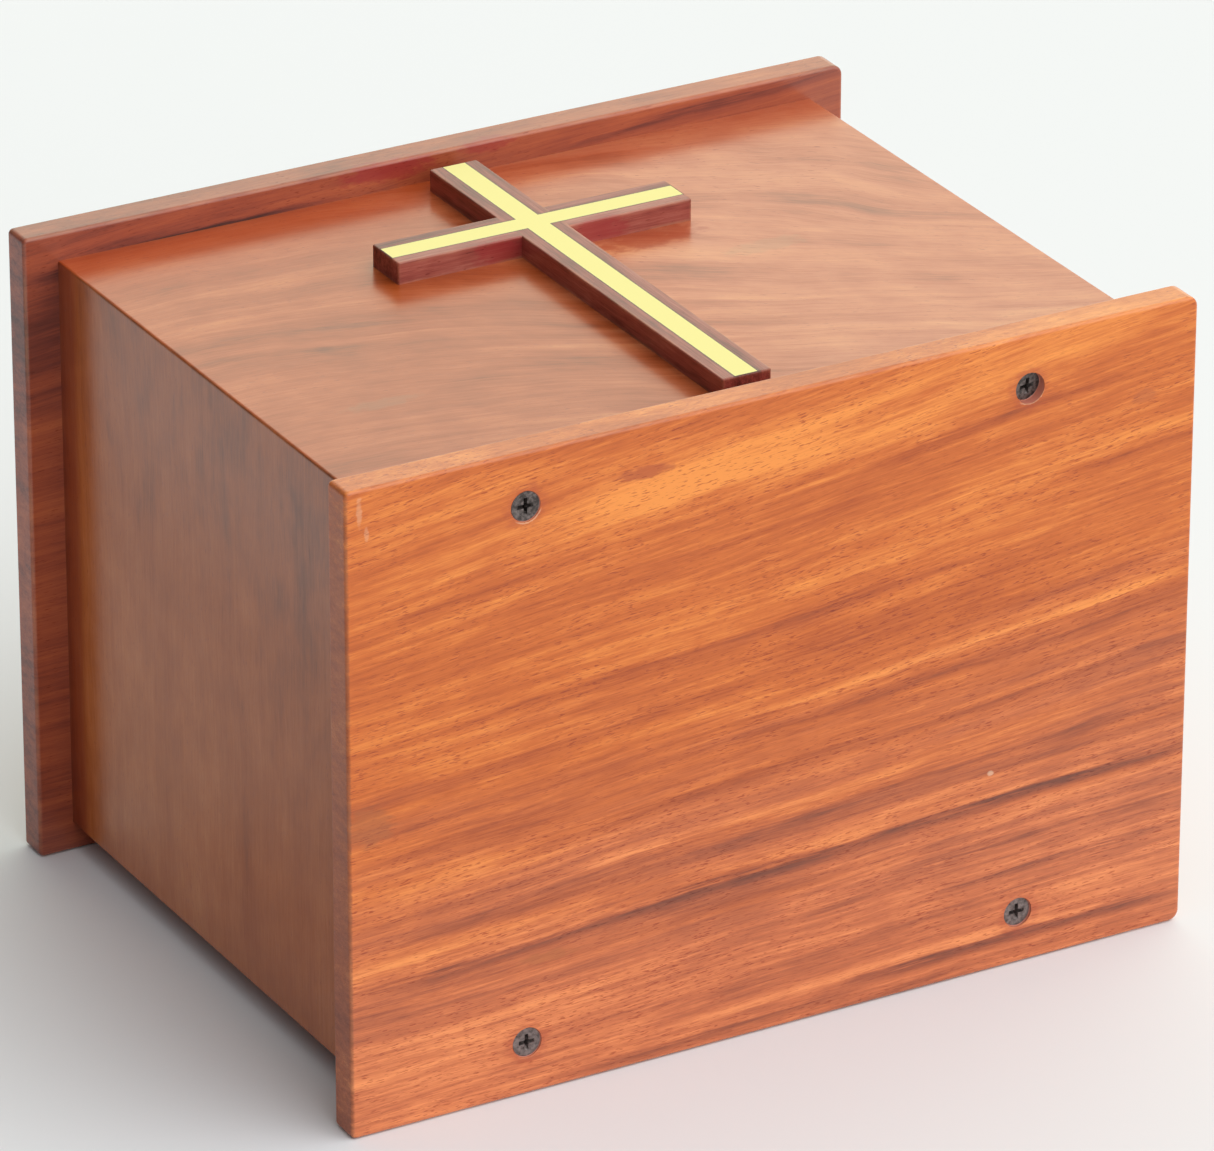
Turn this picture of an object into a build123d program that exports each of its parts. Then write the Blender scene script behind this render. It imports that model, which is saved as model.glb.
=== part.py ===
from build123d import *
import os
from math import cos, radians, sin, sqrt, tan

os.makedirs("parts", exist_ok=True)

# A wooden box lying on its back, the way it is laid down to be opened.
# +X runs along the width, +Y from the screwed base plate to the top plate, and +Z out of
# the front panel, which carries the cross.  The origin is under the middle of the box, on
# the surface that the rear edges of the two plates rest on.  In use the box stands on the
# outer face of its base plate, with +Y upwards.  All sizes are in millimetres.

# ---------------------------------------------------------------- driving dimensions
overall_height = 190.0          # base plate's outer face to top plate's outer face
plate_width = 250.0
plate_depth = 182.0             # back edge to front edge
plate_thickness = 9.5
left_corner_radius = 1.5        # in plan; the plates are rounded over more on the right
right_corner_radius = 3.0
plate_edge_radius = 1.0         # the eased edges all round both faces
side_overhang = 10.0            # plate beyond the side panels
front_overhang = 8.0            # plate beyond the front and back panels
panel_thickness = 14.0
body_edge_radius = 0.8          # the four long corners of the body

mitre_angle = 45.0
spline_thickness = 3.0
spline_width = 10.0
spline_inset = 7.0              # from the inner corner of the body, along the mitre

glue_gap = 0.05                 # round every dowel, on the radius
top_dowel_diameter = 6.0
top_dowel_length = 20.0
top_dowel_depth_in_plate = 5.5
top_dowel_spacing_x = 130.0     # the pair in the front panel and the pair in the back panel
top_dowel_spacing_z = 80.0      # the pair in each side panel

coin_slot_length = 90.0         # through the top plate
coin_slot_width = 6.0
coin_slot_edge_radius = 1.0

cross_height = 157.0
cross_span = 88.5
cross_foot_gap = 8.0            # from the base plate's inner face to the foot of the cross
cross_arm_height = 112.7        # from the foot of the cross to the middle of its arms
bar_width = 14.4
bar_thickness = 6.2
bar_corner_radius = 0.6         # the upright corners at the ends of the bars
bar_arris_radius = 0.4          # all round the face
inlay_width = 6.6
inlay_thickness = 1.6
inlay_end_margin = 0.5          # of wood, past each end of the inlay
cross_dowel_diameter = 4.0
cross_dowel_length = 9.0
cross_dowel_depth_in_bar = 3.0
cross_dowel_inset = 14.0        # from each end of the cross

screw_spacing_x = 148.0
screw_length = 22.0
screw_head_diameter = 8.0
screw_rim = 0.25                # the short straight edge of the head
screw_neck_diameter = 3.0
screw_neck_end = 4.0            # where the thread starts, below the face of the head
screw_core_diameter = 2.3
screw_thread_diameter = 3.5
screw_thread_pitch = 1.4
screw_root_start = 0.2          # one turn of the thread, as shares of its pitch
screw_root_end = 0.5
screw_crest = 0.85
screw_tip_length = 4.0
recess_span = 4.6               # the cross recess at the face of the head
recess_slot = 1.1
recess_depth = 1.9
recess_floor_ratio = 0.4
countersink_diameter = 8.5
countersink_angle = 90.0
shank_clearance = 0.3           # between the thread crests and the holes, on the radius
pilot_extra_depth = 2.0

lean_heading = -45.0            # the way a screw's head leans, from +X towards +Z

# Each screw: side of the box in X, front or back row, how far the middle of its head is
# sunk below the plate's face, and how far it leans.  One was driven in slightly askew.
SCREWS = {
    "screw_front_left": (-1, 1, 0.2, 0.0),
    "screw_front_right": (1, 1, 1.5, 10.0),
    "screw_back_left": (-1, -1, 0.35, 0.0),
    "screw_back_right": (1, -1, 0.7, 0.0),
}

# ---------------------------------------------------------------- derived dimensions
base_y = -overall_height / 2
top_y = overall_height / 2
body_base_y = base_y + plate_thickness
body_top_y = top_y - plate_thickness
body_height = body_top_y - body_base_y
body_width = plate_width - 2 * side_overhang
body_depth = plate_depth - 2 * front_overhang
middle_z = plate_depth / 2
front_z = middle_z + body_depth / 2
back_z = middle_z - body_depth / 2
panel_middle_x = (body_width - panel_thickness) / 2
panel_middle_z = (body_depth - panel_thickness) / 2
bar_face_z = front_z + bar_thickness
foot_y = body_base_y + cross_foot_gap
head_y = foot_y + cross_height
arm_y = foot_y + cross_arm_height
upright_middle_y = (foot_y + head_y) / 2
inlay_height = cross_height - 2 * inlay_end_margin
inlay_span = cross_span - 2 * inlay_end_margin
hole_radius = screw_thread_diameter / 2 + shank_clearance
top_dowel_radius = top_dowel_diameter / 2
cross_dowel_radius = cross_dowel_diameter / 2

# Sections across the box are drawn on planes that face the base: X to the right, Z up.
body_top_section = Plane.XZ.offset(-body_top_y)
body_base_section = Plane.XZ.offset(-body_base_y)
top_dowel_section = Plane.XZ.offset(-body_top_y - top_dowel_depth_in_plate)

OUTWARD = Vector(0, -1, 0)      # out of the base plate
LEAN_TOWARDS = Vector(cos(radians(lean_heading)), 0, sin(radians(lean_heading)))

top_dowel_places = [
    (side * top_dowel_spacing_x / 2, middle_z + row * panel_middle_z)
    for side in (-1, 1)
    for row in (-1, 1)
] + [
    (side * panel_middle_x, middle_z + row * top_dowel_spacing_z / 2)
    for side in (-1, 1)
    for row in (-1, 1)
]
cross_dowel_places = [
    (0, foot_y + cross_dowel_inset),
    (0, head_y - cross_dowel_inset),
    (-cross_span / 2 + cross_dowel_inset, arm_y),
    (cross_span / 2 - cross_dowel_inset, arm_y),
]


# ---------------------------------------------------------------- shared shapes
def finish(piece, name):
    """Label one finished piece and write its STEP file."""
    piece.label = name
    export_step(piece, f"parts/{name}.step")


def eased_plate(far_y):
    """A plate with rounded corners and eased edges; far_y is its face nearer the top."""
    with BuildPart() as plate:
        with BuildSketch(Plane.XZ.offset(-far_y)) as outline:
            with Locations((0, middle_z)):
                Rectangle(plate_width, plate_depth)
            fillet(outline.vertices().group_by(Axis.X)[0], left_corner_radius)
            fillet(outline.vertices().group_by(Axis.X)[-1], right_corner_radius)
        extrude(amount=plate_thickness)
        faces = plate.faces().sort_by(Axis.Y)
        fillet(faces[0].edges() + faces[-1].edges(), plate_edge_radius)
    return plate.part


def screw_plane(side, row, sunk, lean):
    """The face of a screw's head, with its normal pointing out of the base plate."""
    normal = OUTWARD * cos(radians(lean)) + LEAN_TOWARDS * sin(radians(lean))
    seat = Vector(side * screw_spacing_x / 2, base_y + sunk, middle_z + row * panel_middle_z)
    return Plane(origin=seat, x_dir=Vector(0, 0, 1).cross(normal), z_dir=normal)


def spline_blanks():
    """The four mitre splines, one across each corner of the body."""
    x = body_width / 2 - panel_thickness + spline_inset / sqrt(2)
    z = body_depth / 2 - panel_thickness + spline_inset / sqrt(2)
    with BuildPart() as splines:
        with BuildSketch(body_top_section):
            for side in (-1, 1):
                for row in (-1, 1):
                    with Locations((side * x, middle_z + row * z)):
                        Rectangle(
                            spline_width, spline_thickness, rotation=-mitre_angle * side * row
                        )
        extrude(amount=body_height)
    return splines.part


def screw_pilots():
    """The hole that each screw enters in the end of its panel.

    A leaning screw is drawn out straight with the base plate, so its hole is as long,
    sideways, as the part of the screw inside the panel leans.
    """
    with BuildPart() as pilots:
        for side, row, sunk, lean in SCREWS.values():
            reach = screw_length * cos(radians(lean)) + sunk - plate_thickness
            near_drift = (plate_thickness - sunk) * tan(radians(lean))
            far_drift = screw_length * sin(radians(lean))
            middle = -LEAN_TOWARDS * (near_drift + far_drift) / 2
            x = side * screw_spacing_x / 2 + middle.X
            z = middle_z + row * panel_middle_z + middle.Z
            with BuildSketch(body_base_section):
                with Locations((x, z)):
                    if lean:
                        SlotCenterToCenter(
                            far_drift - near_drift, 2 * hole_radius, rotation=lean_heading
                        )
                    else:
                        Circle(hole_radius)
            extrude(amount=-reach - pilot_extra_depth)
    return pilots.part


def dowels(section, places, radius, length):
    """Round dowels whose far ends lie on one plane."""
    with BuildPart() as group:
        with BuildSketch(section):
            with Locations(places):
                Circle(radius)
        extrude(amount=length)
    return group.part


def cross_grooves():
    """The room that the inlay takes in the face of the cross."""
    with BuildPart() as grooves:
        with BuildSketch(Plane.XY.offset(bar_face_z)):
            with Locations((0, upright_middle_y)):
                Rectangle(inlay_width, inlay_height)
            with Locations((0, arm_y)):
                Rectangle(inlay_span, inlay_width)
        extrude(amount=-inlay_thickness)
    return grooves.part


def cross_blank():
    """The whole cross with its edges eased and its grooves cut, before it is parted in two."""
    with BuildPart() as cross:
        with BuildSketch(Plane.XY.offset(front_z)):
            with Locations((0, upright_middle_y)):
                RectangleRounded(bar_width, cross_height, bar_corner_radius)
            with Locations((0, arm_y)):
                RectangleRounded(cross_span, bar_width, bar_corner_radius)
        extrude(amount=bar_thickness)
        fillet(cross.faces().sort_by(Axis.Z)[-1].edges(), bar_arris_radius)
        add(cross_grooves(), mode=Mode.SUBTRACT)
        add(cross_dowel_holes, mode=Mode.SUBTRACT)
    return cross.part


# Shapes that several pieces share, made before any piece is started.
base_blank = eased_plate(body_base_y)
top_blank = eased_plate(top_y)
spline_solids = spline_blanks()
pilot_holes = screw_pilots()
top_dowel_solids = dowels(
    top_dowel_section, top_dowel_places, top_dowel_radius, top_dowel_length
)
top_dowel_holes = dowels(
    top_dowel_section, top_dowel_places, top_dowel_radius + glue_gap, top_dowel_length
)
cross_dowel_section = Plane.XY.offset(front_z + cross_dowel_depth_in_bar - cross_dowel_length)
cross_dowel_solids = dowels(
    cross_dowel_section, cross_dowel_places, cross_dowel_radius, cross_dowel_length
)
cross_dowel_holes = dowels(
    cross_dowel_section, cross_dowel_places, cross_dowel_radius + glue_gap, cross_dowel_length
)
whole_cross = cross_blank()

# ---------------------------------------------------------------- base plate
with BuildPart() as base_plate:
    add(base_blank)
    for side, row, sunk, lean in SCREWS.values():
        drilled = screw_plane(side, row, 0, 0).location
        followed = screw_plane(side, row, sunk, lean).location
        with Locations(drilled, followed):
            CounterSinkHole(
                hole_radius, countersink_diameter / 2, 2 * plate_thickness, countersink_angle
            )
finish(base_plate.part, "base_plate")

# ---------------------------------------------------------------- top plate with its coin slot
with BuildPart() as top_plate:
    add(top_blank)
    with BuildSketch(Plane.XZ.offset(-top_y)):
        with Locations((0, middle_z)):
            SlotOverall(coin_slot_length, coin_slot_width)
    extrude(amount=plate_thickness, mode=Mode.SUBTRACT)
    plate_faces = top_plate.faces().filter_by(Axis.Y).sort_by(Axis.Y)
    slot_edges = plate_faces[0].inner_wires().edges() + plate_faces[-1].inner_wires().edges()
    fillet(slot_edges, coin_slot_edge_radius)
    add(top_dowel_holes, mode=Mode.SUBTRACT)
finish(top_plate.part, "top_plate")

# ---------------------------------------------------------------- the four mitred panels
# Each panel is drawn from its outer face, with the plane's own Y pointing out of the box.
PANELS = {
    "front_panel": (Vector(1, 0, 0), Vector(0, 0, front_z), body_width),
    "back_panel": (Vector(-1, 0, 0), Vector(0, 0, back_z), body_width),
    "left_panel": (Vector(0, 0, 1), Vector(-body_width / 2, 0, middle_z), body_depth),
    "right_panel": (Vector(0, 0, -1), Vector(body_width / 2, 0, middle_z), body_depth),
}
for name, (along, on_outer_face, length) in PANELS.items():
    half = length / 2
    top_of_face = on_outer_face + Vector(0, body_top_y, 0)
    with BuildPart() as panel:
        with BuildSketch(Plane(origin=top_of_face, x_dir=along, z_dir=OUTWARD)):
            with BuildLine():
                Polyline(
                    (-half, 0),
                    (half, 0),
                    (half - panel_thickness, -panel_thickness),
                    (panel_thickness - half, -panel_thickness),
                    close=True,
                )
            make_face()
        extrude(amount=body_height)
        with BuildSketch(body_top_section):
            with Locations((0, middle_z)):
                RectangleRounded(body_width, body_depth, body_edge_radius)
        extrude(amount=body_height, mode=Mode.INTERSECT)
        add(spline_solids, mode=Mode.SUBTRACT)
        add(top_dowel_holes, mode=Mode.SUBTRACT)
        add(pilot_holes, mode=Mode.SUBTRACT)
        add(cross_dowel_holes, mode=Mode.SUBTRACT)
    finish(panel.part, name)

# ---------------------------------------------------------------- mitre splines and dowels
for spline in spline_solids.solids():
    row_name = "front" if spline.center().Z > middle_z else "back"
    side_name = "left" if spline.center().X < 0 else "right"
    with BuildPart() as mitre_spline:
        add(spline)
    finish(mitre_spline.part, f"mitre_spline_{row_name}_{side_name}")

with BuildPart() as top_dowels:
    add(top_dowel_solids)
finish(top_dowels.part, "top_dowels")

with BuildPart() as cross_dowels:
    add(cross_dowel_solids)
finish(cross_dowels.part, "cross_dowels")

# ---------------------------------------------------------------- the cross and its inlay
# The two bars are half-lapped: the upright lies over the arm where they cross.
with BuildPart() as cross_upright:
    add(whole_cross)
    with BuildSketch(Plane.XY.offset(front_z)):
        with Locations((0, upright_middle_y)):
            Rectangle(bar_width, cross_height)
    extrude(amount=bar_thickness, mode=Mode.INTERSECT)
    with BuildSketch(Plane.XY.offset(front_z)):
        with Locations((0, arm_y)):
            Rectangle(bar_width, bar_width)
    extrude(amount=bar_thickness / 2, mode=Mode.SUBTRACT)
finish(cross_upright.part, "cross_upright")

with BuildPart() as cross_arm:
    add(whole_cross)
    with BuildSketch(Plane.XY.offset(front_z)):
        with Locations((0, arm_y)):
            Rectangle(cross_span, bar_width)
    extrude(amount=bar_thickness, mode=Mode.INTERSECT)
    with BuildSketch(Plane.XY.offset(bar_face_z)):
        with Locations((0, arm_y)):
            Rectangle(bar_width, bar_width)
    extrude(amount=-bar_thickness / 2, mode=Mode.SUBTRACT)
finish(cross_arm.part, "cross_arm")

arm_inlay_length = (inlay_span - inlay_width) / 2
arm_inlay_x = (inlay_span + inlay_width) / 4
INLAYS = {
    "inlay_upright": (0, upright_middle_y, inlay_width, inlay_height),
    "inlay_arm_left": (-arm_inlay_x, arm_y, arm_inlay_length, inlay_width),
    "inlay_arm_right": (arm_inlay_x, arm_y, arm_inlay_length, inlay_width),
}
for name, (x, y, size_x, size_y) in INLAYS.items():
    with BuildPart() as inlay:
        with BuildSketch(Plane.XY.offset(bar_face_z)):
            with Locations((x, y)):
                Rectangle(size_x, size_y)
        extrude(amount=-inlay_thickness)
    finish(inlay.part, name)

# ---------------------------------------------------------------- the four wood screws
# A screw is turned about its own Z axis, with the face of its head at zero.
head_radius = screw_head_diameter / 2
neck_radius = screw_neck_diameter / 2
core_radius = screw_core_diameter / 2
crest_radius = screw_thread_diameter / 2
head_depth = screw_rim + head_radius - neck_radius
thread_end = screw_length - screw_tip_length
thread_turns = round((thread_end - screw_neck_end) / screw_thread_pitch)

outline = [
    (0, 0),
    (head_radius, 0),
    (head_radius, -screw_rim),
    (neck_radius, -head_depth),
    (neck_radius, -screw_neck_end),
]
for turn in range(thread_turns):
    start = screw_neck_end + turn * screw_thread_pitch
    outline += [
        (core_radius, -start - screw_root_start * screw_thread_pitch),
        (core_radius, -start - screw_root_end * screw_thread_pitch),
        (crest_radius, -start - screw_crest * screw_thread_pitch),
    ]
outline += [
    (core_radius, -screw_neck_end - thread_turns * screw_thread_pitch),
    (0, -screw_length),
]

with BuildPart() as screw_blank:
    with BuildSketch(Plane.XZ):
        with BuildLine():
            Polyline(*outline, close=True)
        make_face()
    revolve(axis=Axis.Z)
    for depth, scale_down in ((0, 1), (recess_depth, recess_floor_ratio)):
        with BuildSketch(Plane.XY.offset(-depth)):
            Rectangle(recess_span * scale_down, recess_slot * scale_down)
            Rectangle(recess_slot * scale_down, recess_span * scale_down)
    loft(mode=Mode.SUBTRACT)

for name, placing in SCREWS.items():
    with BuildPart() as screw:
        with Locations(screw_plane(*placing).location):
            add(screw_blank.part)
    finish(screw.part, name)
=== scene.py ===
import math

import bpy
from mathutils import Matrix, Vector


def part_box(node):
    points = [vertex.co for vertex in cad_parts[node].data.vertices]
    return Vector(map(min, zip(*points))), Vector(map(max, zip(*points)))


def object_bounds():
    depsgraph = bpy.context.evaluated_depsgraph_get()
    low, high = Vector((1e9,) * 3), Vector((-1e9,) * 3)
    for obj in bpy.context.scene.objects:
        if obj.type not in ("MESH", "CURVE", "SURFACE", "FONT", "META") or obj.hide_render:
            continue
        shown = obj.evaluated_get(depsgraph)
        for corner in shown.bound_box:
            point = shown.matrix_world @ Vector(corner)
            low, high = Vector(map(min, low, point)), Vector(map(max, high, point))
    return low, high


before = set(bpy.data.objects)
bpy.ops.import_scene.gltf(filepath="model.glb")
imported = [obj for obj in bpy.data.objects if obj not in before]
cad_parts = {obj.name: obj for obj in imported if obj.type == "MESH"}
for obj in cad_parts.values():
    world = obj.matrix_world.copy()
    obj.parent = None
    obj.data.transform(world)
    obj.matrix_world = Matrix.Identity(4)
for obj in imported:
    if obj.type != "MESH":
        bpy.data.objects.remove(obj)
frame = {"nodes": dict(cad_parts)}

CAD_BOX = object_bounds()
MM = 0.001
MM_PER_METRE = 1000.0

# The camera, fitted to the photograph's edges: its place in metres, its aim and its right.
CAMERA_PLACE = (-1.0643, -1.8950, 1.1262)
CAMERA_AIM = (0.44301, 0.78670, -0.42993)
CAMERA_RIGHT = (0.87169, -0.49006, 0.00149)
CAMERA_LENS, CAMERA_SENSOR = 269.1, 36.0
CAMERA_NEAR, CAMERA_FAR = 0.1, 60.0

FLOOR_HALF = 30.0
FLOOR_GAP = 0.0002
FLOOR_COLOUR = (0.81, 0.82, 0.85)

# The light's radiance everywhere, and then three sources: the way each one lies, its outer and
# inner half-angles in degrees, and its radiance.
SURROUND = (0.10, 0.10, 0.098)
KEY = ((0.45, -0.75, 0.55), 62, 12, (2.12, 2.11, 2.10))
WHITE_WALL = ((0.62, 0.68, 0.42), 58, 18, (1.38, 1.48, 1.18))
OVERHEAD = ((0.0, 0.0, 1.0), 60, 20, (0.44, 0.44, 0.44))


# ------------------------------------------------------------------ camera, floor and light
def make_camera():
    """A long lens, a little above the box and to the left of its base."""
    data = bpy.data.cameras.new("camera")
    data.lens, data.sensor_width = CAMERA_LENS, CAMERA_SENSOR
    data.clip_start, data.clip_end = CAMERA_NEAR, CAMERA_FAR
    camera = bpy.data.objects.new("camera", data)
    forward = Vector(CAMERA_AIM).normalized()
    right = Vector(CAMERA_RIGHT)
    right = (right - forward * right.dot(forward)).normalized()
    up = right.cross(forward)
    turn = Matrix((right, up, -forward)).transposed().to_4x4()
    camera.matrix_world = Matrix.Translation(CAMERA_PLACE) @ turn
    bpy.context.scene.collection.objects.link(camera)
    bpy.context.scene.camera = camera


def make_floor():
    """A wide, plain, pale floor under the box."""
    near, far = -FLOOR_HALF, FLOOR_HALF
    corners = [(near, near, 0), (far, near, 0), (far, far, 0), (near, far, 0)]
    mesh = bpy.data.meshes.new("floor")
    mesh.from_pydata(corners, [], [(0, 1, 2, 3)])
    floor = bpy.data.objects.new("floor", mesh)
    floor.location.z = CAD_BOX[0].z - FLOOR_GAP
    material = bpy.data.materials.new("floor")
    material.use_nodes = True
    shader = material.node_tree.nodes["Principled BSDF"]
    shader.inputs["Base Color"].default_value = (*FLOOR_COLOUR, 1)
    shader.inputs["Roughness"].default_value = 0.9
    shader.inputs["Specular IOR Level"].default_value = 0.1
    mesh.materials.append(material)
    bpy.context.scene.collection.objects.link(floor)


def make_light():
    """Soft studio light: a dim surround with a few wide, soft sources painted on it.

    The key stands in front of the base and to its right, the white wall behind the box.
    """
    world = bpy.data.worlds.new("studio")
    world.use_nodes = True
    nodes, links = world.node_tree.nodes, world.node_tree.links
    coordinates = nodes.new("ShaderNodeTexCoord")
    surround = nodes.new("ShaderNodeRGB")
    surround.outputs[0].default_value = (*SURROUND, 1)
    total = surround.outputs[0]
    for aim, outer, inner, radiance in (KEY, WHITE_WALL, OVERHEAD):
        dot = nodes.new("ShaderNodeVectorMath")
        dot.operation = "DOT_PRODUCT"
        links.new(coordinates.outputs["Generated"], dot.inputs[0])
        dot.inputs[1].default_value = Vector(aim).normalized()
        lobe = nodes.new("ShaderNodeMapRange")
        lobe.interpolation_type = "SMOOTHSTEP"
        lobe.inputs["From Min"].default_value = math.cos(math.radians(outer))
        lobe.inputs["From Max"].default_value = math.cos(math.radians(inner))
        links.new(dot.outputs["Value"], lobe.inputs["Value"])
        glow = nodes.new("ShaderNodeVectorMath")
        glow.operation = "SCALE"
        glow.inputs[0].default_value = radiance
        links.new(lobe.outputs[0], glow.inputs["Scale"])
        add = nodes.new("ShaderNodeVectorMath")
        links.new(total, add.inputs[0])
        links.new(glow.outputs[0], add.inputs[1])
        total = add.outputs[0]
    links.new(total, nodes["Background"].inputs["Color"])
    bpy.context.scene.world = world
    bpy.context.scene.view_settings.view_transform = "Standard"


# ------------------------------------------------------------------ node trees
class Graph:
    """One material's node tree, written as expressions on its sockets."""

    def __init__(self, name):
        self.material = bpy.data.materials.new(name)
        self.material.use_nodes = True
        self.nodes = self.material.node_tree.nodes
        self.links = self.material.node_tree.links
        self.shader = self.nodes["Principled BSDF"]

    def feed(self, socket, value):
        if isinstance(value, bpy.types.NodeSocket):
            self.links.new(value, socket)
        else:
            socket.default_value = value

    def math(self, operation, a, b=0.0):
        node = self.nodes.new("ShaderNodeMath")
        node.operation = operation
        self.feed(node.inputs[0], a)
        self.feed(node.inputs[1], b)
        return node.outputs[0]

    def add(self, a, b):
        return self.math("ADD", a, b)

    def subtract(self, a, b):
        return self.math("SUBTRACT", a, b)

    def times(self, a, b):
        return self.math("MULTIPLY", a, b)

    def step(self, value, low, high, to_low=0.0, to_high=1.0):
        """A smooth step of value, from to_low at low to to_high at high."""
        node = self.nodes.new("ShaderNodeMapRange")
        node.interpolation_type = "SMOOTHSTEP"
        backwards = low > high
        self.feed(node.inputs["Value"], value)
        node.inputs["From Min"].default_value = high if backwards else low
        node.inputs["From Max"].default_value = low if backwards else high
        node.inputs["To Min"].default_value = to_high if backwards else to_low
        node.inputs["To Max"].default_value = to_low if backwards else to_high
        return node.outputs[0]

    def vector(self, x, y, z):
        node = self.nodes.new("ShaderNodeCombineXYZ")
        for socket, value in zip(node.inputs, (x, y, z)):
            self.feed(socket, value)
        return node.outputs[0]

    def scaled(self, point, scales):
        """A point with each of its three numbers multiplied by its own scale."""
        return self.vector(*(self.times(value, scale) for value, scale in zip(point, scales)))

    def swing(self, value, amount):
        """A noise value, moved to lie evenly about zero and multiplied by amount."""
        return self.times(self.subtract(value, 0.5), amount)

    def place(self):
        """The point's place in the part's own frame, as three numbers in millimetres."""
        coordinates = self.nodes.new("ShaderNodeTexCoord")
        scale = self.nodes.new("ShaderNodeVectorMath")
        scale.operation = "SCALE"
        scale.inputs["Scale"].default_value = MM_PER_METRE
        self.links.new(coordinates.outputs["Object"], scale.inputs[0])
        split = self.nodes.new("ShaderNodeSeparateXYZ")
        self.links.new(scale.outputs[0], split.inputs[0])
        return split.outputs[0], split.outputs[1], split.outputs[2]

    def noise(self, point, detail=2.0, roughness=0.5):
        node = self.nodes.new("ShaderNodeTexNoise")
        node.inputs["Scale"].default_value = 1.0
        node.inputs["Detail"].default_value = detail
        node.inputs["Roughness"].default_value = roughness
        self.links.new(point, node.inputs["Vector"])
        return node.outputs["Fac"]

    def ramp(self, value, stops):
        node = self.nodes.new("ShaderNodeValToRGB")
        elements = node.color_ramp.elements
        while len(elements) < len(stops):
            elements.new(0.5)
        for element, (position, colour) in zip(elements, stops):
            element.position, element.color = position, (*colour, 1)
        self.feed(node.inputs[0], value)
        return node.outputs[0]

    def mix(self, share, a, b, blend="MIX"):
        node = self.nodes.new("ShaderNodeMix")
        node.data_type, node.blend_type = "RGBA", blend
        self.feed(node.inputs[0], share)
        for socket, value in ((node.inputs[6], a), (node.inputs[7], b)):
            linked = isinstance(value, bpy.types.NodeSocket)
            self.feed(socket, value if linked else (*value, 1))
        return node.outputs[2]

    def bump(self, height, distance_mm):
        node = self.nodes.new("ShaderNodeBump")
        node.inputs["Strength"].default_value = 1.0
        node.inputs["Distance"].default_value = distance_mm * MM
        self.feed(node.inputs["Height"], height)
        return node.outputs[0]


# ------------------------------------------------------------------ wood
PALE = (0.86, 0.62, 0.42)
CRIMSON = (0.33, 0.028, 0.032)
PORE_SHADE = (0.60, 0.38, 0.32)
RUBBED_COLOUR = (0.80, 0.42, 0.22)
HOLE_COLOUR = (0.60, 0.21, 0.15)
GLUE_COLOUR = (0.035, 0.010, 0.008)
SHADED_ORANGE = (0.45, 0.060, 0.010)
SHADED_UMBER = (0.19, 0.020, 0.010)

# All in millimetres: the base plate's outer face along Y, a screw hole's radii, and half-way up
# the box as it lies, which parts the front screws from the rear ones.
BASE_FACE = -95
HOLE_RADIUS, HOLE_INNER = 4.9, 4.5
RIM_RADIUS, RIM_RAGGED = 4.2, 0.7
HALF_HEIGHT = 91

SPECULAR = 0.05
COAT_ROUGHNESS = 0.22
STRIPS = ("inlay_upright", "inlay_arm_left", "inlay_arm_right")

# The palettes: each is a list of tone and colour.
ORANGE = [
    (0.05, (0.18, 0.034, 0.008)),
    (0.28, (0.43, 0.080, 0.009)),
    (0.50, (0.590, 0.136, 0.018)),
    (0.63, (0.70, 0.196, 0.032)),
    (0.80, (0.84, 0.280, 0.050)),
]
ROSE = [
    (0.05, (0.17, 0.050, 0.030)),
    (0.28, (0.355, 0.090, 0.037)),
    (0.50, (0.56, 0.150, 0.054)),
    (0.63, (0.70, 0.212, 0.074)),
    (0.78, (0.84, 0.29, 0.100)),
]
RUSSET = [
    (0.10, (0.15, 0.024, 0.005)),
    (0.36, (0.36, 0.064, 0.010)),
    (0.50, (0.42, 0.084, 0.019)),
    (0.64, (0.48, 0.112, 0.032)),
    (0.88, (0.58, 0.17, 0.052)),
]
UMBER = [
    (0.10, (0.15, 0.030, 0.006)),
    (0.36, (0.36, 0.082, 0.012)),
    (0.50, (0.42, 0.108, 0.021)),
    (0.64, (0.48, 0.138, 0.034)),
    (0.88, (0.60, 0.215, 0.066)),
]
GOLD = [
    (0.10, (0.25, 0.056, 0.024)),
    (0.36, (0.495, 0.130, 0.055)),
    (0.50, (0.565, 0.172, 0.080)),
    (0.64, (0.635, 0.222, 0.100)),
    (0.88, (0.75, 0.32, 0.14)),
]
CHESTNUT = [
    (0.06, (0.065, 0.021, 0.017)),
    (0.30, (0.195, 0.044, 0.029)),
    (0.50, (0.34, 0.076, 0.037)),
    (0.70, (0.46, 0.114, 0.046)),
    (0.90, (0.58, 0.18, 0.068)),
]
MAROON = [
    (0.15, (0.055, 0.012, 0.011)),
    (0.38, (0.190, 0.036, 0.028)),
    (0.50, (0.275, 0.056, 0.043)),
    (0.62, (0.345, 0.083, 0.060)),
    (0.85, (0.46, 0.15, 0.11)),
]
TAN = [
    (0.0, (0.42, 0.27, 0.13)),
    (0.5, (0.62, 0.43, 0.24)),
    (1.0, (0.72, 0.55, 0.34)),
]


def streak(graph, u, v, height, half_width, start, end, fade):
    """1 along one streak of the grain, fading out past its two ends and its two sides."""
    off = graph.math("ABSOLUTE", graph.subtract(v, height))
    body = graph.step(off, half_width, 0.0)
    opening = graph.step(u, start - fade, start + fade)
    closing = graph.step(u, end + fade, end - fade)
    return graph.times(body, graph.times(opening, closing))


def blot(graph, place, centre, reach):
    """1 in the middle of a soft-edged, ragged patch round a point."""
    total = 0.0
    for value, middle, radius in zip(place, centre, reach):
        away = graph.times(graph.subtract(value, middle), 1 / radius)
        total = graph.add(graph.times(away, away), total)
    ragged = graph.noise(graph.scaled(place, (0.33, 0.45, 0.9)), 3.0)
    return graph.step(graph.add(total, graph.swing(ragged, 2.2)), 1.25, 0.25)


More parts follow.
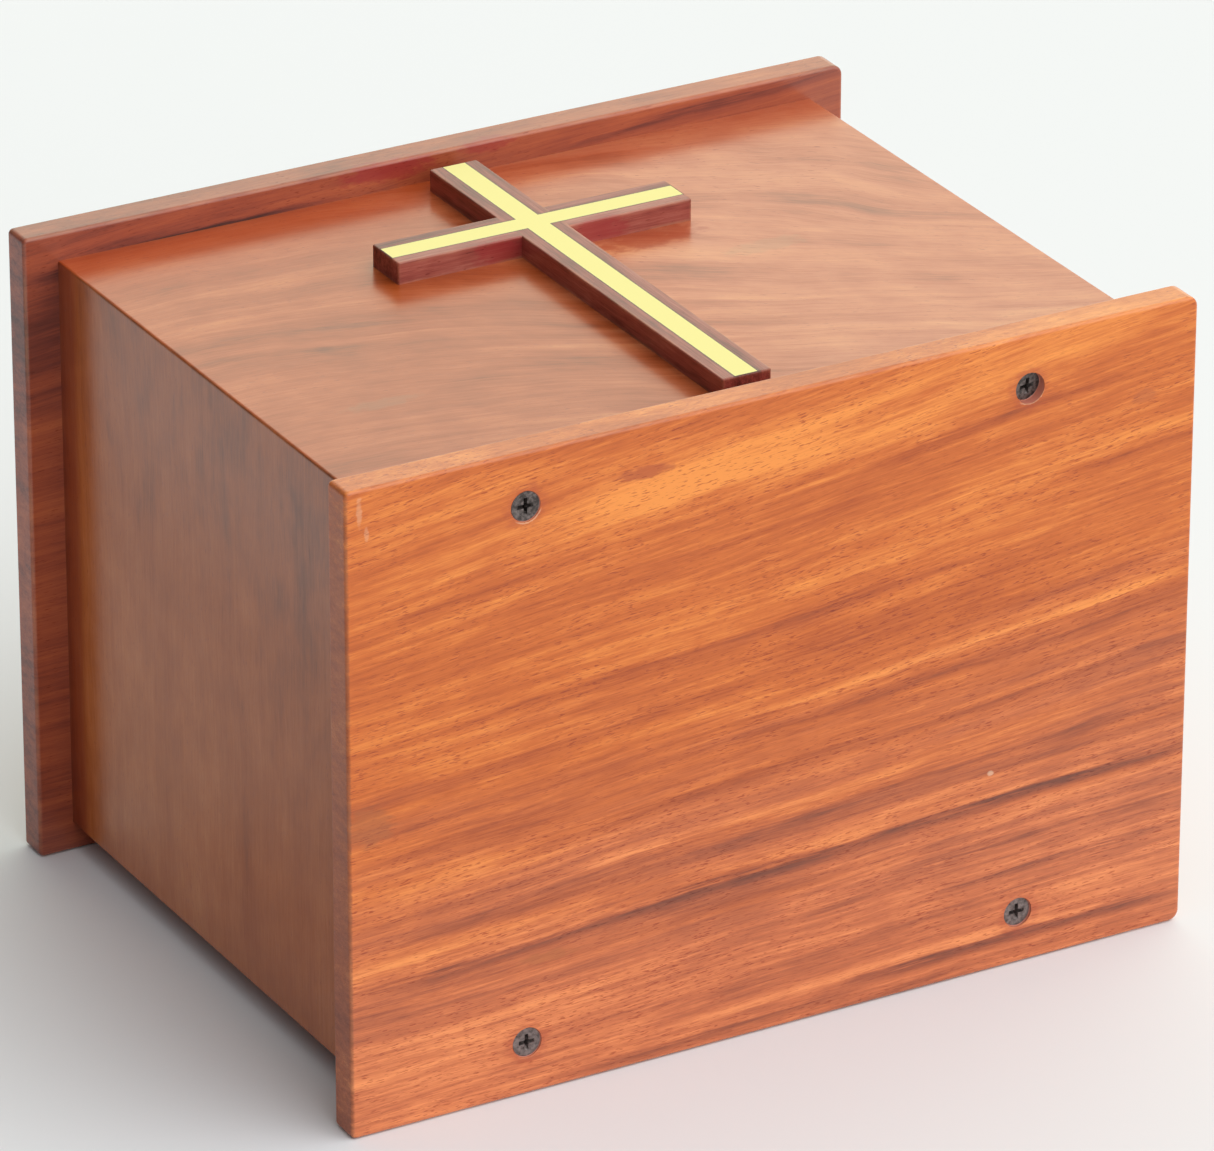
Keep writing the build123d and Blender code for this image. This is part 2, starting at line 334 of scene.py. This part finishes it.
def screw_hole(graph, colour, place, hole):
    """The bare, pinkish wall of a screw's hole, and a painted highlight along its rim's lower
    side.

    hole is the place of its middle across and up the base plate, and the share of the rim's
    painted highlight.
    """
    middle_x, middle_z, rim_highlight = hole
    x, z = graph.subtract(place[0], middle_x), graph.subtract(place[2], middle_z)
    radius = graph.math("SQRT", graph.add(graph.times(x, x), graph.times(z, z)))
    fine = graph.vector(graph.times(place[0], 1.1), 0.0, graph.times(place[2], 1.1))
    ragged = graph.noise(fine, 2.0)
    inside = graph.step(radius, HOLE_RADIUS, HOLE_INNER)
    deeper = graph.step(place[1], BASE_FACE + 0.05, BASE_FACE + 0.3)
    wall = graph.times(inside, deeper)
    colour = graph.mix(graph.times(wall, 0.85), colour, HOLE_COLOUR)
    # Painted highlight: a thin, ragged pale line along the lower side of the rim, at the face.
    middle = graph.add(RIM_RADIUS, graph.times(ragged, RIM_RAGGED))
    off = graph.math("ABSOLUTE", graph.subtract(radius, middle))
    below = graph.step(graph.subtract(graph.times(x, 0.3), z), 2.2, 4.0)
    line = graph.step(off, 0.30, 0.06)
    rim = graph.times(line, graph.step(place[1], BASE_FACE + 0.2, BASE_FACE + 0.05))
    return graph.mix(graph.times(graph.times(rim, below), rim_highlight), colour, PALE)


def middle_and_half(start, end):
    """The middle and half the length of a span in metres, both in millimetres."""
    return MM_PER_METRE / 2 * (start + end), MM_PER_METRE / 2 * (end - start)


def edge_distance(graph, place, node):
    """How far a point is from its board's ends along each axis, and from the nearest edge."""
    walls = []
    for value, start, end in zip(place, *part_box(node)):
        middle, half = middle_and_half(start, end)
        off = graph.math("ABSOLUTE", graph.subtract(value, middle))
        walls.append(graph.subtract(half, off))
    a, b, c = walls
    nearer, further = graph.math("MINIMUM", a, b), graph.math("MAXIMUM", a, b)
    return walls, graph.math("MAXIMUM", nearer, graph.math("MINIMUM", further, c))


def glue_line(graph, place, strip):
    """1 along the hairline of dark glue round a strip let into the wood."""
    low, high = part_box(strip)
    gaps = []
    for axis in (0, 1):
        middle, half = middle_and_half(low[axis], high[axis])
        off = graph.math("ABSOLUTE", graph.subtract(place[axis], middle))
        gaps.append(graph.subtract(off, half))
    return graph.step(graph.math("MAXIMUM", *gaps), 0.55, 0.22)


def rising(slope, more=0.0):
    """Grain that climbs along the board, and more so further up it."""
    return lambda graph, u, v: graph.times(u, graph.add(graph.times(v, more), slope))


def arching(graph, u, v):
    """Grain that runs level at one end of the board, bends down, and then falls steadily.

    It is level at -112 mm, bends as far as -12 mm, and falls evenly from there.
    """
    bend = graph.math("MINIMUM", graph.add(u, 112), 100)
    curve = graph.times(graph.times(bend, bend), 0.0030)
    slant = graph.times(graph.math("MAXIMUM", graph.add(u, 12), 0.0), 0.48)
    return graph.times(graph.add(curve, slant), graph.step(v, 95, -30, -0.25, -1.0))


def lacquered_wood(
    node, axes, seed, climb, sway, bands, palette,
    dark=(), light=(), pores=0.5, other=None, blots=(), coat=1.0, wear=0.22,
    overhang_shade=None, holes=(), inlaid=(),
):
    """A figured, open-pored hardwood under clear lacquer.

    axes: the axes (0, 1 or 2) of the grain, of the face across the grain and of the thickness.
    seed: a number that sets this board's noises apart from the others'.
    climb, sway: how the grain bends, and how far it wanders in millimetres.
    bands: the shares in the tone of five noises, from the broadest down, and of the mottle.
    dark, light: streaks, each a share, height, half-width, start, end and fade.
    pores, wear: how open the pores are, and how far the edges are rubbed.
    other: a second palette, the two places between which it gives way to the first one, and
    whether they lie along the grain or across it.
    blots: patches, each a colour, share, centre and reach.
    coat: how much lacquer there is, as a number or as a function of the place.
    overhang_shade: a painted shade and painted reflection of the top plate's overhang, as a
    deeper colour next to it, given as the places along Y where it starts and is full, the
    colour and its share.
    holes, inlaid: the screw holes, and the strips let into the wood.
    """
    graph = Graph("wood_" + node)
    place = graph.place()
    u, v, w = (place[axis] for axis in axes)

    # straight is the height of a line of grain, as it would be if the grain ran straight.
    def wander(length, width, depth):
        return graph.vector(
            graph.times(u, 1 / length),
            graph.times(v, 1 / width),
            graph.add(graph.times(w, 1 / depth), seed),
        )

    drift, ripple = wander(110, 70, 90), wander(24, 14, 20)
    straight = graph.subtract(v, climb(graph, u, v))
    straight = graph.add(straight, graph.swing(graph.noise(drift, 1.0), sway))
    straight = graph.add(straight, graph.swing(graph.noise(ripple, 1.0), sway * 0.18))

    def along_grain(length, width, depth, offset):
        return graph.vector(
            graph.times(u, 1 / length),
            graph.times(straight, 1 / width),
            graph.add(graph.times(w, 1 / depth), offset),
        )

    def layer(length, width, depth, offset, detail, roughness=0.5):
        point = along_grain(length, width, depth, seed * 3.1 + offset)
        return graph.noise(point, detail, roughness)

    broad = layer(130, 22, 40, 1.3, 2.0)
    figure = layer(130, 8, 14, 3.9, 3.0, 0.55)
    band = layer(58, 2.6, 6, 4.7, 4.0, 0.62)
    line = layer(20, 0.8, 1.2, 9.1, 3.0, 0.62)
    fibre = layer(6, 0.32, 0.3, 13.9, 2.0)
    mottle = layer(13, 9, 20, 21.7, 3.0)

    # The tone, from 0 (dark) to 1 (pale), and the colour that it gives.
    walls, edge = edge_distance(graph, place, node)
    end_grain = graph.step(walls[axes[0]], 0.9, 0.2)
    tone = graph.subtract(0.5, graph.times(end_grain, 0.08))
    for weight, texture in zip(bands, (broad, figure, band, line, fibre, mottle)):
        tone = graph.add(tone, graph.swing(texture, weight))
    feather = graph.add(straight, graph.swing(line, 2.6))
    feather = graph.add(feather, graph.swing(band, 5.0))
    for amount, *shape in dark:
        tone = graph.subtract(tone, graph.times(streak(graph, u, feather, *shape), amount))
    for amount, *shape in light:
        tone = graph.add(tone, graph.times(streak(graph, u, feather, *shape), amount))

    colour = graph.ramp(tone, palette)
    if other is not None:
        second, low, high, along = other
        where = graph.add(u if along else straight, graph.swing(figure, 90))
        share = graph.step(where, high, low)
        colour = graph.mix(share, colour, graph.ramp(tone, second))
    for tint, amount, centre, reach in blots:
        colour = graph.mix(graph.times(blot(graph, place, centre, reach), amount), colour, tint)
    # Painted shade and painted reflection of the top plate's overhang: the colour deepens along
    # Y towards it.
    if overhang_shade is not None:
        start, full, tint, amount = overhang_shade
        colour = graph.mix(graph.step(place[1], start, full, 0.0, amount), colour, tint)

    # Open pores, as short dashes along the grain.
    dash = along_grain(2.5, 0.35, 0.5, seed * 1.7)
    pore = graph.step(graph.noise(dash, 1.0), 0.68 - 0.1 * pores, 0.80 - 0.1 * pores)
    crowd = graph.add(mottle, graph.subtract(broad, 0.5))
    pore = graph.times(pore, graph.step(crowd, 0.35, 0.6, 0.3, 1.0))
    colour = graph.mix(graph.times(pore, 0.9), colour, PORE_SHADE, "MULTIPLY")

    # Edges rubbed pale, screw holes and glue.
    patchy = graph.noise(graph.scaled(place, (1 / 12, 1 / 12, 1 / 12)), 2.0)
    rub = graph.times(graph.step(edge, 1.1, 0.1), graph.step(patchy, 0.35, 0.65, 0.25, 1.0))
    colour = graph.mix(graph.times(rub, wear), colour, RUBBED_COLOUR)
    for hole in holes:
        colour = screw_hole(graph, colour, place, hole)
    for strip in inlaid:
        glue = graph.times(glue_line(graph, place, strip), 0.75)
        colour = graph.mix(glue, colour, GLUE_COLOUR)
    graph.feed(graph.shader.inputs["Base Color"], colour)

    # Gloss, relief and the film of lacquer, which is thinner on end grain.
    gloss = graph.step(line, 0.2, 0.8, 0.5, 0.38)
    graph.feed(graph.shader.inputs["Roughness"], graph.add(gloss, graph.times(rub, 0.15)))
    relief = graph.subtract(graph.times(fibre, 0.4), pore)
    graph.feed(graph.shader.inputs["Normal"], graph.bump(relief, 0.03))
    swell = graph.scaled((u, v, w), (1 / 30, 1 / 16, 1 / 30))
    film = graph.add(graph.noise(swell, 1.0), graph.times(relief, 0.12))
    graph.feed(graph.shader.inputs["Coat Normal"], graph.bump(film, 0.04))
    graph.shader.inputs["Specular IOR Level"].default_value = SPECULAR
    film_left = coat(graph, place) if callable(coat) else coat
    dried = graph.step(end_grain, 0.0, 1.0, 1.0, 0.62)
    graph.feed(graph.shader.inputs["Coat Weight"], graph.times(dried, film_left))
    graph.shader.inputs["Coat Roughness"].default_value = COAT_ROUGHNESS
    dress(node, graph.material)


def paint_base_plate():
    """Red-gold wood with wine-dark streaks, paler and pinker towards its rear edge."""
    dark = [
        (0.055, 86.0, 34.0, -125, 125, 30),
        (0.30, 46.3, 3.0, -112, 125, 26),
        (0.15, 58.3, 4.5, -100, 125, 34),
        (0.17, 75.0, 2.6, -60, 125, 26),
        (0.13, 88.5, 3.0, -15, 125, 24),
        (0.18, 117.6, 2.0, -112, 40, 30),
        (0.10, 102.0, 2.0, -125, -12, 20),
        (0.16, 152.7, 1.5, 32, 108, 14),
        (0.34, 6.0, 2.2, 25, 125, 20),
        (0.16, 3.6, 1.6, -55, 20, 14),
        (0.20, 24.8, 1.3, 48, 125, 14),
        (0.12, 18.4, 1.3, 30, 125, 16),
        (0.14, 33.0, 1.5, 25, 125, 16),
        (0.12, 39.0, 1.3, 36, 125, 16),
        (0.12, 130.0, 3.0, 70, 125, 20),
        (0.20, 105.0, 16.0, 0, 90, 26),
        (0.20, 43.0, 11.0, -34, 8, 20),
        (0.15, 46.6, 3.4, 62, 125, 16),
        (0.08, 55.0, 3.0, 70, 125, 16),
        (0.10, 86.8, 1.6, -20, 125, 16),
    ]
    light = [
        (0.24, 93.5, 2.0, -8, 118, 22),
        (0.16, 64.6, 2.2, -66, 52, 22),
        (0.16, 28.0, 2.5, -125, -48, 20),
        (0.18, 53.6, 2.4, -125, -98, 12),
        (0.18, 9.0, 2.4, -36, 80, 24),
        (0.14, 136.0, 3.0, 46, 125, 20),
        (0.10, 168.0, 8.0, -115, 10, 30),
        (0.20, 166.0, 16.0, -40, 125, 36),
        (0.13, 15.0, 15.0, -125, -72, 22),
        (0.12, 14.0, 12.0, 74, 125, 20),
    ]
    blots = [
        ((0.37, 0.055, 0.015), 0.65, (-40, -95, 168.6), (9, 4, 2.0)),
        ((0.30, 0.10, 0.035), 0.40, (-119, -95, 88), (7, 4, 6)),
        ((0.32, 0.11, 0.03), 0.35, (-68, -95, 38.5), (9, 4, 1.6)),
        ((0.42, 0.10, 0.03), 0.40, (109, -95, 157), (4, 4, 2.2)),
        (PALE, 0.22, (-121, -95, 176.0), (0.9, 4, 4.2)),
        (PALE, 0.45, (64.6, -95, 58.4), (1.1, 4, 0.8)),
        (PALE, 0.20, (-119, -95, 169.5), (0.7, 4, 2.0)),
        # Painted shade: this last dark patch darkens the whole left end face, the side turned
        # away from the key.
        ((0.22, 0.05, 0.02), 0.45, (-125, -90, 91), (1.0, 9, 140)),
    ]
    holes = []
    for node in frame["nodes"]:
        if node.startswith("screw"):
            low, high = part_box(node)
            x, z = (middle_and_half(low[axis], high[axis])[0] for axis in (0, 2))
            blots.append(((0.36, 0.045, 0.015), 0.40, (x, BASE_FACE, z), (6.6, 3, 6.6)))
            # The painted highlight on the rim is stronger on the front screws.
            rim_highlight = 0.38 if z > HALF_HEIGHT else 0.06
            holes.append((x, z, rim_highlight))
    weights = (0.40, 0.40, 0.74, 0.40, 0.27, 0.20)
    lacquered_wood(
        "base_plate", (0, 2, 1), 1.0, rising(0.018, 0.0006), 5.0, weights, ORANGE,
        dark, light, 1.0, (ROSE, 25, 120, False), blots, holes=holes,
    )


def paint_top_plate():
    """Darker, browner wood, with a black streak and a crimson stain behind the cross."""
    dark = [
        (0.34, 176.5, 2.6, -112, -42, 16),
        # Painted shade: this broad dark streak darkens the plate's left part, beside the shaded
        # left side of the box.
        (0.13, 168.0, 60.0, -140, -35, 30),
        (0.24, 172.5, 2.2, 40, 122, 24),
    ]
    light = [
        (0.19, 172.0, 24.0, 30, 125, 30),
        # This light streak lifts part of that painted shade again, lower down the plate's left
        # end.
        (0.09, 96.0, 60.0, -140, -102, 16),
    ]
    blots = [
        (CRIMSON, 0.7, (-16, 85.5, 179.5), (16, 4, 3.2)),
        (CRIMSON, 0.6, (14, 85.5, 181), (9, 4, 2.4)),
    ]
    weights = (0.42, 0.50, 0.58, 0.28, 0.22, 0.20)
    lacquered_wood(
        "top_plate", (0, 2, 1), 7.0, rising(0.03, 0.0002), 6.0, weights, CHESTNUT,
        dark, light, 0.5, None, blots,
    )


def side_film(graph, place):
    """How much lacquer is left on a side panel: least half-way up it."""
    front = graph.step(place[2], 105, 160, 0.0, 0.26)
    rear = graph.step(place[2], 45, 15, 0.0, 0.20)
    return graph.add(graph.add(front, rear), 0.62)


def paint_front_panel():
    """Broad, arched figure, redder on the left of the cross and more golden on its right."""
    blots = [
        ((0.36, 0.20, 0.10), 0.26, (53, 4, 174), (13, 4, 9)),
        ((0.30, 0.16, 0.09), 0.27, (-83, -36, 174), (12, 3, 9)),
        # Painted shade: this deep orange patch just below the right arm stands for the arm's
        # shadow and its dark reflection in the lacquer.
        ((0.38, 0.045, 0.008), 0.62, (28, 24, 174), (18, 7, 9)),
        ((0.42, 0.062, 0.014), 0.25, (-72, 70, 174), (62, 20, 30)),
    ]
    weights = (0.60, 0.72, 0.40, 0.20, 0.34, 0.50)
    lacquered_wood(
        "front_panel", (0, 1, 2), 13.0, arching, 16.0, weights, RUSSET,
        (), (), 0.4, (GOLD, 60, -40, True), blots,
        # The last argument paints the shade and reflection of the top plate's overhang on the
        # panel beside it.
        wear=0.06, overhang_shade=(60, 84, SHADED_ORANGE, 0.45),
    )


def paint_back_panel():
    """The same wood as the front, with a plainer figure."""
    weights = (0.45, 0.60, 0.50, 0.22, 0.2, 0.3)
    lacquered_wood(
        "back_panel", (0, 1, 2), 17.0, rising(0.05, -0.0008), 20.0, weights, RUSSET, pores=0.3,
    )


def paint_side_panels():
    """Plain, mottled, greyer wood with its grain running up the box as it lies."""
    dark = [
        (0.17, 0, 300, 110, 300, 60),
        # The second dark streak, along Y = 84 beside the top plate, is painted shade and a
        # painted reflection of the plate's overhang.
        (0.30, 84, 10, -50, 250, 10),
        (0.06, -62, 34, 60, 300, 40),
        (0.13, -20, 8, 24, 96, 22),
    ]
    light = [(0.12, 14, 60, -30, 42, 24)]
    weights = (0.26, 0.18, 0.22, 0.16, 0.30, 0.42)
    for node, seed, slope in (("left_panel", 23.0, 0.02), ("right_panel", 29.0, -0.03)):
        lacquered_wood(
            node, (2, 1, 0), seed, rising(slope, 0.0003), 12.0, weights, UMBER,
            dark, light, 0.3, coat=side_film,
            # The last argument paints the shade and reflection of the top plate's overhang next
            # to it.
            wear=0.06, overhang_shade=(73.5, 79, SHADED_UMBER, 0.62),
        )


def paint_cross():
    """Dark red wood, with two crimson stains on the arm's front edge."""
    red = [
        (CRIMSON, 0.65, (side * reach, 27.9, 177), (9, 4, 5))
        for side, reach in ((-1, 13), (1, 16))
    ]
    weights = (0.4, 0.5, 0.7, 0.55, 0.4, 0.4)
    for node, axes, seed, blots in (
        ("cross_upright", (1, 0, 2), 31.0, ()),
        ("cross_arm", (0, 1, 2), 37.0, red),
    ):
        lacquered_wood(
            node, axes, seed, rising(0.01), 3.0, weights, MAROON,
            pores=0.3, blots=blots, coat=0.84, inlaid=STRIPS,
        )


def paint_joinery():
    """Pale, bare wood for the splines and dowels inside the joints."""
    weights = (0.3, 0.3, 0.4, 0.4, 0.3, 0.2)
    for number, node in enumerate(frame["nodes"]):
        if node.startswith("mitre_spline") or node.endswith("dowels"):
            lacquered_wood(
                node, (1, 0, 2), 41.0 + number, rising(0.01), 2.0, weights, TAN,
                pores=0.2, coat=0.0,
            )


def dress(node, material):
    """Puts a material on every slot of a CAD piece."""
    for slot in frame["nodes"][node].material_slots:
        slot.material = material


# ------------------------------------------------------------------ metal
BRASS_DULL, BRASS_BRIGHT = (0.725, 0.642, 0.305), (0.755, 0.672, 0.325)
STEEL_BLACK, STEEL_WORN = (0.055, 0.045, 0.042), (0.25, 0.205, 0.195)


def brass():
    """Flat, satin, pale yellow metal."""
    graph = Graph("brass")
    x, y, z = graph.place()
    fine = graph.vector(graph.times(x, 1.5), graph.times(y, 1.5), z)
    grainy = graph.noise(fine, 3.0)
    colour = graph.ramp(grainy, [(0.3, BRASS_DULL), (0.7, BRASS_BRIGHT)])
    graph.feed(graph.shader.inputs["Base Color"], colour)
    graph.shader.inputs["Metallic"].default_value = 1.0
    graph.feed(graph.shader.inputs["Roughness"], graph.step(grainy, 0.3, 0.7, 0.46, 0.54))
    return graph.material


def black_steel():
    """Blackened steel, rubbed grey in patches, and paler on the two rear screws."""
    graph = Graph("black_steel")
    place = graph.place()
    patch = graph.noise(graph.scaled(place, (0.9, 0.9, 0.9)), 4.0, 0.6)
    # Paler towards the rear screws, darker towards the front ones.
    patch = graph.add(patch, graph.step(place[2], 120, 60, -0.06, 0.07))
    colour = graph.ramp(patch, [(0.35, STEEL_BLACK), (0.7, STEEL_WORN)])
    graph.feed(graph.shader.inputs["Base Color"], colour)
    graph.shader.inputs["Metallic"].default_value = 0.7
    graph.feed(graph.shader.inputs["Roughness"], graph.step(patch, 0.3, 0.7, 0.30, 0.5))
    graph.feed(graph.shader.inputs["Normal"], graph.bump(patch, 0.25))
    return graph.material


def main():
    make_camera()
    make_floor()
    make_light()
    paint_base_plate()
    paint_top_plate()
    paint_front_panel()
    paint_back_panel()
    paint_side_panels()
    paint_cross()
    paint_joinery()
    metal, steel = brass(), black_steel()
    for node in frame["nodes"]:
        if node.startswith("inlay"):
            dress(node, metal)
        elif node.startswith("screw"):
            dress(node, steel)


main()
